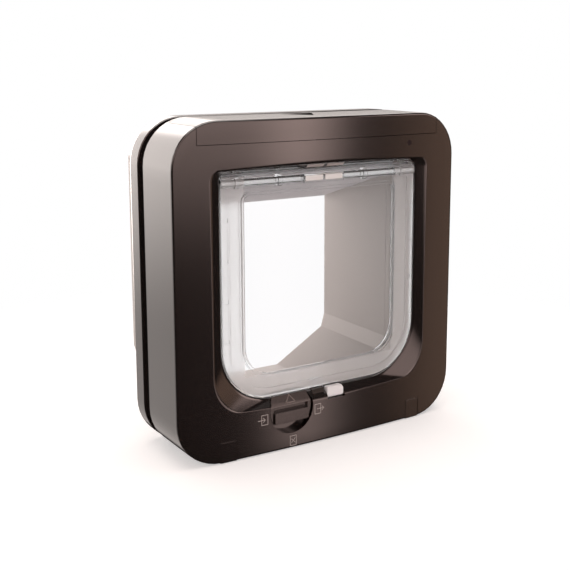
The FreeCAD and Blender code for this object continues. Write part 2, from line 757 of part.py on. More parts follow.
def make_tray():
    """Battery tray with four troughs, a tower at each end for the upper screws and a button bore."""
    body = new_body("battery_tray")
    add(body, "block", "Z", "tray_low", "cell_height",
        box("-tray_half", "tray_half", "tray_front", "plate_front"))
    for side, start, end in (("left", "-tray_half", "-tower_start"), ("right", "tower_start", "tray_half")):
        add(body, "tower_" + side, "Z", "cell_height", "tower_top",
            box(start, end, "tower_front", "plate_front"))
    run_end = "(cell_end + 2 * contact_thick)"
    slot = "(contact_thick + seat_gap)"
    troughs = [circle(y, "cell_height", "cell_radius + seat_gap") for y in CELL_CENTRES]
    spans = (("left", minus(run_end), "-cell_start + " + slot), ("right", "cell_start - " + slot, run_end))
    for side, start, end in spans:
        cut(body, "troughs_" + side, "X", start, end, *troughs)
    slots = {
        "left_outer": (minus(run_end), minus(run_end) + " + " + slot),
        "left_inner": ("-cell_start", "-cell_start + " + slot),
        "right_inner": ("cell_start - " + slot, "cell_start"),
        "right_outer": (run_end + " - " + slot, run_end),
    }
    for name, (start, end) in slots.items():
        cut(body, "slot_" + name, "Z", "cell_height - contact_rise - seat_gap", "tower_top",
            box(start, end, "cell_front - contact_rise - seat_gap",
                "cell_front + cell_pitch + contact_rise + seat_gap"))
    cut(body, "button_bore", "Z", "button_low - button_travel - button_gap", "tower_top",
        circle("0", "button_depth", "button_radius + fit_gap"))
    cut(body, "tower_bores", "Y", "0", "indoor_depth", *octagons(HIGH_SCREWS, "screw_radius + fit_gap"))


def make_cells():
    """Four round cells in pairs, each pair lying head to tail."""
    body = new_body("battery_cells")
    for side in (-1, 1):
        for index, centre in enumerate(CELL_CENTRES):
            outward = (index == 0) == (side > 0)
            if outward:
                spans = (("cell_start", "cell_end - nub_length"), ("cell_end - nub_length", "cell_end"))
            else:
                spans = (("cell_start + nub_length", "cell_end"), ("cell_start", "cell_start + nub_length"))
            shapes = (("can", circle(centre, "cell_height", "cell_radius"), spans[0]),
                      ("nub", octagons([(centre, "cell_height")], "nub_radius")[0], spans[1]))
            for part, section, (near, far) in shapes:
                start, end = (near, far) if side > 0 else (minus(far), minus(near))
                add(body, "%s_%d_%d" % (part, side + 1, index), "X", start, end, section)


def make_contacts():
    """Four sprung contact plates at the ends of the cells."""
    body = new_body("battery_contacts")
    run_end = "cell_end + 2 * contact_thick - seat_gap"
    across = box("cell_front - contact_rise", "cell_front + cell_pitch + contact_rise",
                 "cell_height - contact_rise", "cell_height + contact_rise")
    near = "cell_start - contact_thick - seat_gap / 2"
    for name, start in (("left_outer", minus(run_end)), ("left_inner", minus(near) + " - contact_thick"),
                        ("right_inner", near), ("right_outer", run_end + " - contact_thick")):
        add(body, name, "X", start, start + " + contact_thick", across)


def make_button():
    """Learn button: a stem in its bore, and a wider cap that stays above the tray."""
    body = new_body("learn_button")
    cap_low = "cell_height + button_travel + button_gap"
    add(body, "stem", "Z", "button_low", cap_low, circle("0", "button_depth", "button_radius"))
    add(body, "cap", "Z", cap_low, cap_low + " + button_rise", circle("0", "button_depth", "button_head"))


def make_lamp():
    """Clear lamp window with a flange behind the face."""
    body = new_body("lamp_window")
    front = "crown_middle - sqrt(crown_radius * crown_radius - lamp_x * lamp_x)"
    flange = "skin_back + fit_gap"
    add(body, "window", "Y", front, flange, circle("lamp_x", "lamp_height", "lamp_radius"))
    add(body, "flange", "Y", flange, flange + " + lamp_flange_thick",
        *octagons([("lamp_x", "lamp_height")], "lamp_flange"))


# Place and half height of each chip as shares of the board's height, with its thickness between them
CHIPS = {"reader_chip": (0.3, 3.0, 0.09), "driver_chip": (0.55, 2.0, 0.06), "buzzer": (0.8, 4.5, 0.06)}


def make_board():
    """Reader board with its larger chips, slid between two rails behind the right side of the face."""
    body = new_body("circuit_board")
    add(body, "board", "Y", "board_front", "board_back",
        box("board_left", "board_right", "board_low", "board_high"))
    for name, (share, thick, half) in CHIPS.items():
        middle = "board_low + (board_high - board_low) * %s" % share
        reach = "(board_high - board_low) * %s" % half
        add(body, name, "Y", "board_back", "board_back + %s" % thick,
            box("board_left + chip_inset", "board_right - chip_inset", middle + " - " + reach,
                middle + " + " + reach))


def make_aerial():
    """Aerial winding that goes once round the outside of the liner."""
    body = new_body("aerial_coil")
    add(body, "winding", "Y", "aerial_front", "aerial_front + aerial_depth",
        liner_outline("(aerial_gap + aerial_thick)"), liner_outline("aerial_gap"))


def make_screw_covers():
    """Two small covers that hide the lower screws, flush with the crowned face."""
    for label, middle in (("screw_cover_left", "-screw_low_half"), ("screw_cover_right", "screw_low_half")):
        body = new_body(label)
        half = "(screw_cover_width / 2 - seat_gap)"
        crowned_block(body, "cover", middle + " - " + half, middle + " + " + half, "0",
                      "screw_cover_height - seat_gap", "screw_cover_back - seat_gap")


def screw(body, name, x, z, seat, radius, length, head, thick, points_back):
    """One pan-head screw along Y with a cross recess. Its head lies before or behind the seat."""
    shank = (seat, seat + " + " + length) if points_back else (seat + " - " + length, seat)
    crown_span = (seat + " - " + thick, seat) if points_back else (seat, seat + " + " + thick)
    add(body, name + "_shank", "Y", shank[0], shank[1], *octagons([(x, z)], radius))
    add(body, name + "_head", "Y", crown_span[0], crown_span[1], *octagons([(x, z)], head))
    recess = (crown_span[0], crown_span[0] + " + " + thick + " / 2")
    if not points_back:
        recess = (crown_span[1] + " - " + thick + " / 2", crown_span[1])
    for turn, wide, tall in (("flat", " * 0.6", " * 0.16"), ("upright", " * 0.16", " * 0.6")):
        wide, tall = head + wide, head + tall
        cut(body, name + "_" + turn, "Y", recess[0], recess[1],
            box(x + " - " + wide, x + " + " + wide, z + " - " + tall, z + " + " + tall))


def make_screws():
    body = new_body("frame_screws")
    for index, (x, z) in enumerate(SCREW_POINTS):
        seat = "tower_front" if (x, z) in HIGH_SCREWS else "screw_low_seat"
        screw(body, "screw_%d" % index, x, z, seat, "screw_radius", "screw_length", "screw_head_radius",
              "screw_head_thick", True)
    body = new_body("plate_screws")
    for index, (x, z) in enumerate(POSTS):
        screw(body, "screw_%d" % index, x, z, "plate_back - small_head_thick", "small_radius",
              "small_length", "small_head_radius", "small_head_thick", False)
    body = new_body("bracket_screws")
    for index, (x, z) in enumerate(BRACKET_POSTS):
        screw(body, "screw_%d" % index, x, z, "bracket_back", "small_radius",
              "small_length / 2", "small_head_radius", "small_head_thick", False)


def window_outline(gap):
    side = "(window_half + " + gap + ")"
    return rounded("-" + side, side, "window_low - " + gap, "window_top + " + gap,
                   "window_low_round + " + gap, "window_top_round + " + gap)


def make_flap():
    """Clear flap: stepped border round a thin pane, hinge rail with rings, housing for two inserts."""
    body = new_body("flap")
    add(body, "border", "Y", "flap_front", "flap_back",
        rounded("-flap_half", "flap_half", "flap_low", "flap_top", "flap_low_round", "flap_top_round"))
    pivot = circle("pivot_depth", "pivot_height", "rail_radius")
    add(body, "rail", "X", "-flap_half", "flap_half", pivot)
    for index, place in enumerate(("-ring_outer", "-ring_inner", "ring_inner", "ring_outer")):
        add(body, "ring_%d" % index, "X", place + " - ring_width / 2", place + " + ring_width / 2",
            circle("pivot_depth", "pivot_height", "ring_radius"))
    reach = "insert_length + insert_space / 2 + housing_wall"
    rise = "insert_height / 2 + housing_wall"
    add(body, "insert_housing", "Y", "insert_front", "pivot_depth",
        box(minus(reach), reach, "pivot_height - (" + rise + ")", "pivot_height + " + rise))
    lip = rounded("-flap_half + lip_width", "flap_half - lip_width", "flap_low + lip_width",
                  "pivot_height - rail_radius", "flap_low_round - lip_width", "flap_top_round")
    cut(body, "front_step", "Y", "flap_front - 1", "flap_front + lip_step", lip, window_outline("bead_width"))
    cut(body, "back_step", "Y", "flap_back - lip_step", "flap_back + 1", lip, window_outline("bead_width"))
    cut(body, "front_pane", "Y", "flap_front - 1", "flap_front + pane_step", window_outline("0"))
    cut(body, "back_pane", "Y", "flap_back - pane_step", "flap_back + 1", window_outline("0"))
    tick = [box(side, side + " + lip_width / 2", "tick_first", "tick_first + tick_height")
            for side in ("flap_half - lip_width * 0.8", "-flap_half + lip_width * 0.3")]
    first = cut(body, "ticks", "Y", "flap_front - 1", "flap_front + tick_depth", *tick)
    rows = body.newObject("PartDesign::LinearPattern", "tick_rows")
    rows.Originals = [first]
    rows.Direction = ([item for item in body.Origin.OriginFeatures if item.Role == "Z_Axis"][0], [""])
    rows.Occurrences = 4
    bind(rows, "Length", "tick_run")
    body.Tip = rows
    inserts = [box(start, start + " + insert_length + 2 * fit_gap",
                   "pivot_height - insert_height / 2 - fit_gap", "pivot_height + insert_height / 2 + fit_gap")
               for start in ("-insert_length - insert_space / 2 - fit_gap", "insert_space / 2 - fit_gap")]
    cut(body, "insert_slots", "Y", "insert_front - 1", "insert_front + insert_thick", *inserts)
    cut(body, "spindle_bore", "X", "-flap_half - 1", "flap_half + 1",
        circle("pivot_depth", "pivot_height", "spindle_radius + fit_gap"))
    cut(body, "magnet_pocket", "Y", "flap_back - flap_magnet_thick", "flap_back + 1",
        box("magnet_right - magnet_length - fit_gap", "magnet_right + fit_gap", "flap_magnet_low - fit_gap",
            "flap_magnet_low + magnet_height + fit_gap"))


def make_flap_inserts():
    """Two white tags let into the hinge rail, below the two sensors."""
    body = new_body("flap_inserts")
    for name, start in (("left", "-insert_length - insert_space / 2"), ("right", "insert_space / 2")):
        add(body, name, "Y", "insert_front", "insert_front + insert_thick - fit_gap",
            box(start, start + " + insert_length", "pivot_height - insert_height / 2",
                "pivot_height + insert_height / 2"))


def make_flap_magnet():
    """Magnet in the foot of the flap, behind the one in the sill."""
    body = new_body("flap_magnet")
    add(body, "magnet", "Y", "flap_back - flap_magnet_thick + fit_gap", "flap_back - fit_gap",
        box("magnet_right - magnet_length", "magnet_right", "flap_magnet_low",
            "flap_magnet_low + magnet_height"))


def make_sill_magnet():
    """Magnet block set in the lower reveal."""
    body = new_body("sill_magnet")
    low = "sill_height - magnet_height - seat_gap"
    high = "sill_height - seat_gap"
    front, back = "-sill_magnet_front", "sill_magnet_thick - sill_magnet_front"
    side = polygon([(front, low), (back, low), (back, high), ("sill_magnet_slope", high),
                    (front, low + " + magnet_height / 2")])
    add(body, "block", "X", "magnet_right - magnet_length", "magnet_right", side)


def make_spindle():
    """Steel spindle and the two bushes, whose square flanges keep them from turning in the collar."""
    body = new_body("flap_spindle")
    add(body, "rod", "X", "-spindle_reach", "spindle_reach",
        circle("pivot_depth", "pivot_height", "spindle_radius"))
    body = new_body("spindle_bushes")
    inner = "(aperture_half + seat_gap)"
    middle = "(aperture_half + collar_wall + fit_gap)"
    outer = "(aperture_half + collar_wall + fit_gap + bush_flange_thick)"
    barrel = octagons([("pivot_depth", "pivot_height")], "bush_radius")[0]
    flange = squares([("pivot_depth", "pivot_height")], "bush_flange")
    bore = circle("pivot_depth", "pivot_height", "spindle_radius + fit_gap / 2")
    add(body, "barrel_right", "X", inner, middle, barrel)
    add(body, "flange_right", "X", middle, outer, *flange)
    add(body, "barrel_left", "X", minus(middle), minus(inner), barrel)
    add(body, "flange_left", "X", minus(outer), minus(middle), *flange)
    cut(body, "bore_right", "X", inner, outer, bore)
    cut(body, "bore_left", "X", minus(outer), minus(inner), bore)


def make_sensors():
    """Two sensor windows lying in the top of the reveal."""
    body = new_body("sensor_windows")
    for side, start in (("left", "-sensor_length - sensor_space / 2"), ("right", "sensor_space / 2")):
        add(body, side, "X", start, start + " + sensor_length", sensor_shape("0"))


def make_knob():
    """Four-way lock knob: a plate with two opposite flats, sloped upper facet, grip bar and shaft."""
    body = new_body("lock_knob")
    add(body, "plate", "Y", "-knob_front", "knob_back", circle("knob_x", "knob_height", "knob_radius"))
    wide = "knob_radius + 1"
    for name, low, high in (("top_flat", "knob_flat", wide), ("foot_flat", minus(wide), "-knob_flat")):
        cut(body, name, "Y", "-knob_front", "knob_back",
            box("knob_x - " + wide, "knob_x + " + wide, "knob_height + " + low, "knob_height + " + high))
    edge = "knob_back - knob_edge"
    slope = polygon([("-knob_front", "knob_height + knob_slope"), ("-knob_front", "knob_height + " + wide),
                     (edge, "knob_height + " + wide), (edge, "knob_height + knob_flat")])
    cut(body, "upper_facet", "X", "knob_x - " + wide, "knob_x + " + wide, slope)
    add(body, "grip", "Y", "-knob_front - grip_proud", "-knob_front",
        box("knob_x - grip_half", "knob_x + grip_half", "knob_height - grip_low", "knob_height - grip_high"))
    cut(body, "finger_slot", "Y", "-knob_front", "-knob_front / 3",
        box("knob_x - grip_half", "knob_x + grip_half", "knob_height - grip_high",
            "knob_height - grip_high + knob_slope"))
    add(body, "shaft", "Y", "knob_back", "bracket_back", circle("knob_x", "knob_height", "shaft_radius"))


def make_lock_disc():
    """Disc behind the knob: its two round sides stop the flap, and its two flats let it pass."""
    body = new_body("lock_disc")
    wide = "knob_radius + 1"
    add(body, "disc", "Y", "disc_front", "disc_back", circle("knob_x", "knob_height", "knob_radius"))
    cut(body, "top_flat", "Y", "disc_front", "disc_back",
        box("knob_x - " + wide, "knob_x + " + wide, "knob_height + knob_flat", "knob_height + " + wide))
    cut(body, "side_flat", "Y", "disc_front", "disc_back",
        box("knob_x + knob_flat", "knob_x + " + wide, "knob_height - " + wide, "knob_height + " + wide))
    cut(body, "bore", "Y", "disc_front", "disc_back",
        circle("knob_x", "knob_height", "shaft_radius + fit_gap / 2"))


def tooth(across, up, root_half, tip_half, along):
    """One straight-sided tooth, standing out along +x or -x from its root line."""
    return polygon([(across, up + " - " + root_half), (across + along, up + " - " + tip_half),
                    (across + along, up + " + " + tip_half), (across, up + " + " + root_half)])


def make_latch():
    """Latch that rises in front of the flap's foot, with a rack on the side of its tail."""
    body = new_body("inward_latch")
    add(body, "head", "Y", "-latch_front", "latch_back",
        polygon([("latch_left", "latch_low"), ("latch_right", "latch_low"), ("latch_right", "latch_top - 2"),
                 ("latch_right - 1.5", "latch_top"), ("latch_left", "latch_top")]))
    slope = polygon([("-latch_front", "latch_low"), ("-latch_front + 0.6", "latch_low"),
                     ("-latch_front", "latch_low + 1")])
    cut(body, "head_foot", "X", "latch_left", "latch_right", slope)
    add(body, "bridge", "Y", "latch_back", "tail_back",
        box("tail_left", "tail_right", "latch_low", "tail_top"))
    add(body, "tail", "Y", "tail_front", "tail_back", box("tail_left", "tail_right", "tail_low", "latch_low"))
    teeth = [tooth("tail_right", "pinion_height + (%s) * tooth_pitch" % step, "tooth_module * 1.15",
                   "tooth_module * 0.36", " + tooth_module * 2")
             for step in (-2.5, -1.5, -0.5, 0.5)]
    add(body, "rack", "Y", "tail_front", "tail_back", *teeth)


def make_pinion():
    """Pinion on the motor's shaft: a hub and ten straight-sided teeth in a ring."""
    body = new_body("latch_pinion")
    add(body, "hub", "Y", "pinion_front", "pinion_back", circle("pinion_x", "pinion_height", "pinion_root"))
    first = add(body, "tooth", "Y", "pinion_front", "pinion_back",
                tooth("pinion_x - pinion_root + tooth_sink", "pinion_height", "tooth_module * 0.95",
                      "tooth_module * 0.32", " - tooth_module * 2 - tooth_sink"))
    axis = body.newObject("PartDesign::Line", "pinion_axis")
    bind(axis, "Placement.Base.x", "pinion_x")
    bind(axis, "Placement.Base.z", "pinion_height")
    axis.Placement.Rotation = FreeCAD.Rotation(FreeCAD.Vector(1, 0, 0), 90)
    ring = body.newObject("PartDesign::PolarPattern", "teeth")
    ring.Originals = [first]
    ring.Axis = (axis, [""])
    ring.Angle = 360
    bind(ring, "Occurrences", "pinion_teeth")
    body.Tip = ring
    add(body, "shaft", "Y", "pinion_back", "motor_front + shaft_sink",
        circle("pinion_x", "pinion_height", "motor_shaft"))


def make_motor():
    """Small motor that lifts the latch, held in the bracket."""
    body = new_body("latch_motor")
    back = "motor_front + motor_length"
    add(body, "can", "Y", "motor_front", back, circle("pinion_x", "pinion_height", "motor_radius"))
    add(body, "cap", "Y", back, back + " + motor_cap",
        *octagons([("pinion_x", "pinion_height")], "motor_radius / 2"))
    cut(body, "shaft_bore", "Y", "motor_front", "motor_front + shaft_sink + fit_gap",
        circle("pinion_x", "pinion_height", "motor_shaft + fit_gap"))


def make_bracket():
    """Bracket over the lock and latch: bearing for the lock's shaft, seat for the motor, latch guide."""
    body = new_body("mechanism_bracket")
    add(body, "plate", "Y", "bracket_front", "bracket_back",
        box("bracket_left", "bracket_right", "bracket_low", "bracket_top"))
    add(body, "latch_guide", "Y", "tail_back + guide_gap", "bracket_front",
        box("tail_left - guide_inset", "tail_right - guide_inset", "tail_low", "tail_top - latch_rise_room"))
    cut(body, "shaft_bore", "Y", "bracket_front", "bracket_back",
        circle("knob_x", "knob_height", "shaft_radius + fit_gap"))
    cut(body, "motor_bore", "Y", "tail_front", "bracket_back",
        circle("pinion_x", "pinion_height", "motor_radius + fit_gap"))
    cut(body, "holes", "Y", "bracket_front", "bracket_back",
        *octagons(BRACKET_POSTS, "small_radius + fit_gap"))


make_front_shell()
make_back_plate()
make_liner()
make_tube("tunnel", "indoor_depth", "tunnel_rear", tunnel_outline("0"))
make_ceiling()
make_outdoor_frame()
make_seals()
make_battery_cover()
make_tray()
make_cells()
make_contacts()
make_button()
make_lamp()
make_board()
make_aerial()
make_screw_covers()
make_screws()
make_flap()
make_flap_inserts()
make_flap_magnet()
make_sill_magnet()
make_spindle()
make_sensors()
make_knob()
make_lock_disc()
make_latch()
make_pinion()
make_motor()
make_bracket()
doc.recompute()

faults = ["%s (%s)" % (item.Label, item.Name) for item in doc.Objects
          if "Invalid" in item.State or "Error" in item.State]
faults += [node.Label for node in NODES if node.Shape.isNull() or not node.Shape.isValid()]
if faults:
    raise RuntimeError("these objects failed: " + ", ".join(faults))

os.makedirs("parts", exist_ok=True)
for node in NODES:
    node.Shape.exportStep("parts/%s.step" % node.Label)
    print(node.Label, "solids", len(node.Shape.Solids), "volume", round(node.Shape.Volume / 1000, 2), "cm3")
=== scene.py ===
# %% [markdown]
# # A cat flap with a chip reader
# The real object is a dark brown moulded frame round a clear hinged flap, with a grey tunnel behind it.
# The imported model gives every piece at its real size. This lesson dresses it: it rebuilds the pieces that
# show with rounded edges, and it gives each surface a procedural finish.

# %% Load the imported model
import math
import json
import bpy
import bmesh
from mathutils import Matrix, Vector


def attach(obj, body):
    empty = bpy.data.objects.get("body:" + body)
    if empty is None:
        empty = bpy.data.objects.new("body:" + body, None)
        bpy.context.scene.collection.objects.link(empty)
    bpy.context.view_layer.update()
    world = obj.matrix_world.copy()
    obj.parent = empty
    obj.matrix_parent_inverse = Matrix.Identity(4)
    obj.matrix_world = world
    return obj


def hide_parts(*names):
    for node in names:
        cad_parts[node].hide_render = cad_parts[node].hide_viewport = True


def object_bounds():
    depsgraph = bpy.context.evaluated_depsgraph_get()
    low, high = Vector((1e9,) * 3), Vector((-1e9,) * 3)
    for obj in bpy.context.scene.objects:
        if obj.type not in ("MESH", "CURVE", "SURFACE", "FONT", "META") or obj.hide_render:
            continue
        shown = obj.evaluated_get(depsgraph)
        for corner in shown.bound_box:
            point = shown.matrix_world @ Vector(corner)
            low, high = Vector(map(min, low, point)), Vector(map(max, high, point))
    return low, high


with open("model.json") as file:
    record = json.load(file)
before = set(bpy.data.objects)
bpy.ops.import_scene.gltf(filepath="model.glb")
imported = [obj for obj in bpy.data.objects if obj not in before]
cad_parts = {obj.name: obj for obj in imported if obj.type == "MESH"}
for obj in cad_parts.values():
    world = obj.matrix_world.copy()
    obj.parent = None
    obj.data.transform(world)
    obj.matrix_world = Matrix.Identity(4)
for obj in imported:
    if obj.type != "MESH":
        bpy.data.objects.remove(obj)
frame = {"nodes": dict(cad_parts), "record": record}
cad_low, cad_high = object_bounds()
MM = 0.001
WIDTH = cad_high.x - cad_low.x
HEIGHT = cad_high.z - cad_low.z
print("CAD box in mm", [round(side / MM, 1) for side in (*cad_low, *cad_high)])

# %% [markdown]
# ## Finishes
# The frames are a satin brown moulding. It is dark in itself, and it shines like a polished shell, so it
# could be a metal, but then its highlights would be brown too. In the photograph they are nearly white,
# so this is a dark plastic with a high index and a thin clear coat.


# %% A plain finish
COAT_ROUGHNESS = 0.08


def finish(name, colour, roughness, metallic=0.0, ior=1.5, coat=0.0, transmission=0.0):
    """A material whose uniform values stand on the shader's own sockets."""
    material = bpy.data.materials.new(name)
    material.use_nodes = True
    shader = material.node_tree.nodes["Principled BSDF"]
    shader.inputs["Base Color"].default_value = (*colour, 1.0)
    shader.inputs["Roughness"].default_value = roughness
    shader.inputs["Metallic"].default_value = metallic
    shader.inputs["IOR"].default_value = ior
    shader.inputs["Coat Weight"].default_value = coat
    shader.inputs["Coat Roughness"].default_value = COAT_ROUGHNESS
    shader.inputs["Transmission Weight"].default_value = transmission
    return material


print("plain finishes have a colour, a roughness and at most four more values")


# %% A moulded grain
def add_grain(material, scale, height, spread=0.0):
    """A fine moulded grain: noise that lifts the surface, and may vary its roughness."""
    tree = material.node_tree
    nodes, links = tree.nodes, tree.links
    shader = nodes["Principled BSDF"]
    place = nodes.new("ShaderNodeTexCoord")
    noise = nodes.new("ShaderNodeTexNoise")
    noise.inputs["Scale"].default_value = scale
    noise.inputs["Detail"].default_value = 2.0
    bump = nodes.new("ShaderNodeBump")
    bump.inputs["Strength"].default_value = 1.0
    bump.inputs["Distance"].default_value = height
    links.new(place.outputs["Object"], noise.inputs["Vector"])
    links.new(noise.outputs["Fac"], bump.inputs["Height"])
    links.new(bump.outputs["Normal"], shader.inputs["Normal"])
    if spread:
        rough = nodes.new("ShaderNodeMapRange")
        base = shader.inputs["Roughness"].default_value
        rough.inputs["To Min"].default_value = base - spread
        rough.inputs["To Max"].default_value = base + spread
        links.new(noise.outputs["Fac"], rough.inputs["Value"])
        links.new(rough.outputs["Result"], shader.inputs["Roughness"])
    return material


print("grain is a noise on the object's own coordinates")

# %% The finishes of this cat flap
CASE_BROWN = finish("case_brown", (0.0075, 0.0028, 0.0017), 0.17, ior=2.2, coat=1.0)
KNOB_BROWN = finish("knob_brown", (0.010, 0.0045, 0.003), 0.22, ior=2.2, coat=0.6)
TUNNEL_GREY = finish("tunnel_grey", (0.50, 0.465, 0.445), 0.30)
# A near-black, rough finish with a fine grain, for the ring that fills the gap between the indoor and outdoor
# frames.
GAP_FILL_BLACK = finish("gap_fill_black", (0.010, 0.008, 0.008), 0.95)
FINISHES = {
    "brown_case": add_grain(CASE_BROWN, 900, 0.002 * MM, 0.02),
    "brown_knob": add_grain(KNOB_BROWN, 900, 0.002 * MM, 0.02),
    "tunnel_grey": add_grain(TUNNEL_GREY, 700, 0.006 * MM, 0.03),
    "pale_panel": finish("panel_pale", (0.80, 0.79, 0.82), 0.35),
    "black_foam": add_grain(GAP_FILL_BLACK, 1800, 0.08 * MM),
    "black_plastic": finish("inner_black", (0.02, 0.019, 0.018), 0.5),
    "cell_wrap": finish("cell_sleeve", (0.06, 0.06, 0.07), 0.25),
    "steel": finish("plated_steel", (0.62, 0.61, 0.6), 0.25, metallic=1.0),
    "white_plastic": finish("tag_white", (0.82, 0.81, 0.8), 0.4),
    "ivory_plastic": finish("latch_ivory", (0.93, 0.93, 0.94), 0.30),
    "lamp_clear": finish("lamp_smoked", (0.03, 0.02, 0.02), 0.1),
    "board_green": finish("board_green", (0.02, 0.13, 0.06), 0.35),
    "copper": finish("winding_copper", (0.72, 0.38, 0.2), 0.3, metallic=1.0),
    "magnet_dark": finish("magnet_dark", (0.05, 0.04, 0.035), 0.3),
    "sensor_window": finish("sensor_smoked", (0.30, 0.26, 0.25), 0.2),
}
PRINTED = finish("sign_print", (0.40, 0.36, 0.34), 0.5)
FAINT = finish("triangle_print", (0.24, 0.20, 0.185), 0.5)
PLATED = finish("magnet_plated", (0.62, 0.60, 0.60), 0.3, metallic=1.0)
print(len(FINISHES), "finishes")

# %% [markdown]
# ## The clear flap
# The real flap is one clear moulding: polished across its window and lightly frosted on its border. The
# border could be a piece of its own with a second material, but a seam would then show in the clear
# plastic. So one material does both. Wherever the object coordinates lie outside the window it is rougher,
# and part of the light that enters from behind is scattered inside it, which makes the border milky.


# %% Arithmetic between nodes
def math_node(operation, first, second=None, third=None):
    """One step of arithmetic on sockets or numbers, in the node tree of nodes and links."""
    node = nodes.new("ShaderNodeMath")
    node.operation = operation
    for index, value in enumerate((first, second, third)):
        if value is None:
            continue
        if isinstance(value, (int, float)):
            node.inputs[index].default_value = value
        else:
            links.new(value, node.inputs[index])
    return node.outputs[0]


print("arithmetic helper ready")

# %% Clear material
WINDOW_HALF = 57.0 * MM
WINDOW_MIDDLE = 117.5 * MM
WINDOW_RISE = 67.5 * MM
POLISHED, FROSTED = 0.02, 0.15
MILKY = 0.76
clear = finish("clear_moulding", (0.98, 0.98, 0.99), POLISHED, ior=1.45, transmission=1.0)
nodes, links = clear.node_tree.nodes, clear.node_tree.links
shader = nodes["Principled BSDF"]
shader.inputs["Subsurface Weight"].default_value = 1.0
shader.inputs["Subsurface Radius"].default_value = (1.0, 1.0, 1.0)
shader.inputs["Subsurface Scale"].default_value = 8.0 * MM
place = nodes.new("ShaderNodeTexCoord")
axes = nodes.new("ShaderNodeSeparateXYZ")
links.new(place.outputs["Object"], axes.inputs[0])


def outside(axis, middle, half):
    """1 where a coordinate is further than half from the middle."""
    offset = math_node("SUBTRACT", axes.outputs[axis], middle)
    return math_node("GREATER_THAN", math_node("ABSOLUTE", offset), half)


border = math_node("MAXIMUM", outside("X", 0.0, WINDOW_HALF), outside("Z", WINDOW_MIDDLE, WINDOW_RISE))
for socket, inside, at_border in (("Roughness", POLISHED, FROSTED), ("Transmission Weight", 1.0, MILKY)):
    change = nodes.new("ShaderNodeMapRange")
    change.inputs["To Min"].default_value = inside
    change.inputs["To Max"].default_value = at_border
    links.new(border, change.inputs["Value"])
    links.new(change.outputs["Result"], shader.inputs[socket])
FINISHES["clear_flap"] = clear
print("clear window", 2 * WINDOW_HALF / MM, "by", 2 * WINDOW_RISE / MM, "mm, frosted border round it")

# %% Give every CAD piece its finish
SLOT_OF = {part["node"]: part["material_slot"] for part in frame["record"]["subparts"]}
for name, node in frame["nodes"].items():
    node.material_slots[0].material = PLATED if name == "flap_magnet" else FINISHES[SLOT_OF[name]]
print(len(SLOT_OF), "CAD pieces dressed")


# %% [markdown]
# ## Outlines and skins
# The casings are rounded squares with soft edges. A bevel of a solid's edges could round them, but the
# crowned face needs many cross lines, which upset a bevel. So each skin is a stack of rounded outlines,
# bridged one to the next, and the small radii are steps of the stack.

# %% An outline as a loop of points
ARC_STEPS = 10
SIDE_CUTS = 20
SAMPLE_OUTLINE = ((-2, 2, -2, 2), (1, 1), 0)


def outline(bm, sides, rounds, depth):
    """A rounded rectangle in the front view, in millimetres, as a ring of vertices."""
    left, right, low, high = sides
    middle = (low + high) / 2
    before = set(bm.verts)
    quad = bmesh.ops.create_grid(bm, x_segments=1, y_segments=1, size=0.5)["verts"]
    place = Matrix.Translation(((left + right) / 2, depth, middle)) @ Matrix.Rotation(math.radians(90), 4, "X")
    bmesh.ops.transform(bm, matrix=place @ Matrix.Diagonal((right - left, high - low, 1, 1)), verts=quad)
    for is_low, radius in zip((True, False), rounds):
        corners = [v for v in bm.verts if v not in before and (v.co.z < middle) == is_low]
        bmesh.ops.bevel(bm, geom=corners, offset=radius, offset_type="OFFSET", segments=ARC_STEPS,
                        profile=0.5, affect="VERTICES", material=-1)
    ring = [v for v in bm.verts if v not in before]
    straight = [e for e in loop_of(ring) if min(abs(c) for c in (e.verts[0].co - e.verts[1].co).xz) < 1e-4]
    bmesh.ops.subdivide_edges(bm, edges=straight, cuts=SIDE_CUTS)
    ring = [v for v in bm.verts if v not in before]
    bmesh.ops.delete(bm, geom=list({f for v in ring for f in v.link_faces}), context="FACES_ONLY")
    return ring


def loop_of(ring):
    """The edges that join the vertices of one ring."""
    members = set(ring)
    return list({e for v in ring for e in v.link_edges if e.other_vert(v) in members})


print(2 * (ARC_STEPS + SIDE_CUTS), "edges at least on each half of an outline")


# %% Stacks of outlines
def points_of(sides, rounds, depth):
    """The same outline as plain points, in the order in which it is always made."""
    bm = bmesh.new()
    points = [v.co.copy() for v in outline(bm, sides, rounds, depth)]
    bm.free()
    return points


def stack(bm, rings, closed=False):
    """Bridges rings of points into a skin, or a closed band, and returns the rings' vertices."""
    plain = bmesh.new()
    outline(plain, *SAMPLE_OUTLINE)
    mesh = bpy.data.meshes.new("outline")
    plain.to_mesh(mesh)
    plain.free()
    for _ in rings:
        bm.from_mesh(mesh)
    bpy.data.meshes.remove(mesh)
    count = len(rings[0])
    made = [bm.verts[start:start + count] for start in range(0, count * len(rings), count)]
    for level, ring in enumerate(made):
        bmesh.ops.translate(bm, vec=(0, level * 0.1, 0), verts=ring)
    loops = [loop_of(ring) for ring in made]
    for near, far in zip(loops, loops[1:] + (loops[:1] if closed else [])):
        bmesh.ops.bridge_loops(bm, edges=near + far)
    for ring, points in zip(made, rings):
        for vert, point in zip(ring, points):
            vert.co = point
    return made


print(len(points_of(*SAMPLE_OUTLINE)), "points in each outline")


# %% Turning a bmesh into a piece
CROWN = 4.0
DEPTH_SHIFT = cad_low.y / MM + CROWN
TO_METRES = Matrix.Scale(MM, 4) @ Matrix.Translation((0, DEPTH_SHIFT, 0))
SHARP_BEVELLED = 60.0


def object_from(name, bm, in_millimetres=True):
    """Makes a bmesh an object. In millimetres, depth 0 is where the face meets its sides."""
    if in_millimetres:
        bmesh.ops.transform(bm, matrix=TO_METRES, verts=bm.verts)
    mesh = bpy.data.meshes.new(name)
    bm.to_mesh(mesh)
    bm.free()
    obj = bpy.data.objects.new(name, mesh)
    bpy.context.scene.collection.objects.link(obj)
    return obj


